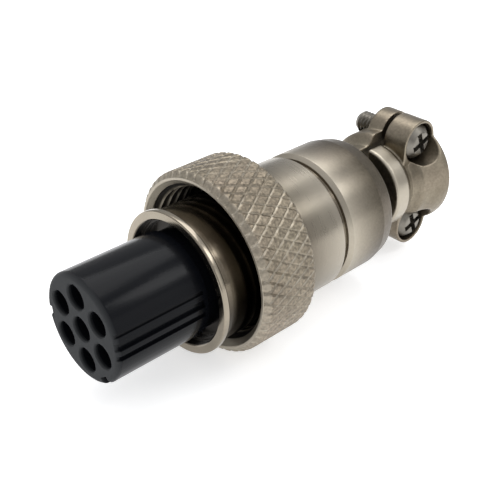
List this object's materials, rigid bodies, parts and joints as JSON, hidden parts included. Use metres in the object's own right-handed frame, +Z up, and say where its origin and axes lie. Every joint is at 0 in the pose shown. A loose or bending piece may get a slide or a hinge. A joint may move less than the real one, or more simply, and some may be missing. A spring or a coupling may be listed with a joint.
{
  "type": "microphone connector",
  "caption": "Inline round microphone connector: black socket insert in a nickel sleeve, loose diamond-knurled coupling nut, plain collar and shell, and a screwed cable clamp at the rear.",
  "frame": {"origin": "on the table under the middle of the connector's length, straight under the plug's axis", "axes": "+X along the plug from the mating face to the cable end, -Y towards the strap and the screw heads, +Z up"},
  "size_m": [0.045, 0.0186, 0.0185],
  "materials": {
    "nickel": "satin nickel plate over brass",
    "black_plastic": "glossy moulded black plastic",
    "gold": "gold plate",
    "zinc": "bright zinc plate"
  },
  "bodies": {
    "plug": {"insert": "black_plastic", "contact_1": "gold", "contact_2": "gold", "contact_3": "gold", "contact_4": "gold", "contact_5": "gold", "contact_6": "gold", "contact_7": "gold", "front_sleeve": "nickel", "body_collar": "nickel", "rear_shell": "nickel"},
    "nut": {"coupling_nut": "nickel"},
    "strap": {"clamp_strap": "nickel"},
    "upper_screw": {"clamp_screw_upper": "zinc"},
    "lower_screw": {"clamp_screw_lower": "zinc"}
  },
  "joints": [
    {"name": "nut_turn", "type": "hinge", "parent": "plug", "child": "nut", "pos_m": [-0.00583, 0, 0.00925], "axis": [1, 0, 0], "continuous": true},
    {"name": "strap_lift", "type": "slide", "parent": "plug", "child": "strap", "axis": [0, -1, 0], "range_m": [-0.0003, 0.0013]},
    {"name": "upper_screw_turn", "type": "hinge", "parent": "strap", "child": "upper_screw", "pos_m": [0.01972, 0, 0.0136], "axis": [0, -1, 0], "range_deg": [-241, 1041]},
    {"name": "lower_screw_turn", "type": "hinge", "parent": "strap", "child": "lower_screw", "pos_m": [0.01972, 0, 0.0037], "axis": [0, -1, 0], "range_deg": [-241, 1041]}
  ],
  "couplings": [
    {"joint": "upper_screw_turn", "follows": "strap_lift", "rad_per_m": 13963},
    {"joint": "lower_screw_turn", "follows": "strap_lift", "rad_per_m": 13963}
  ]
}
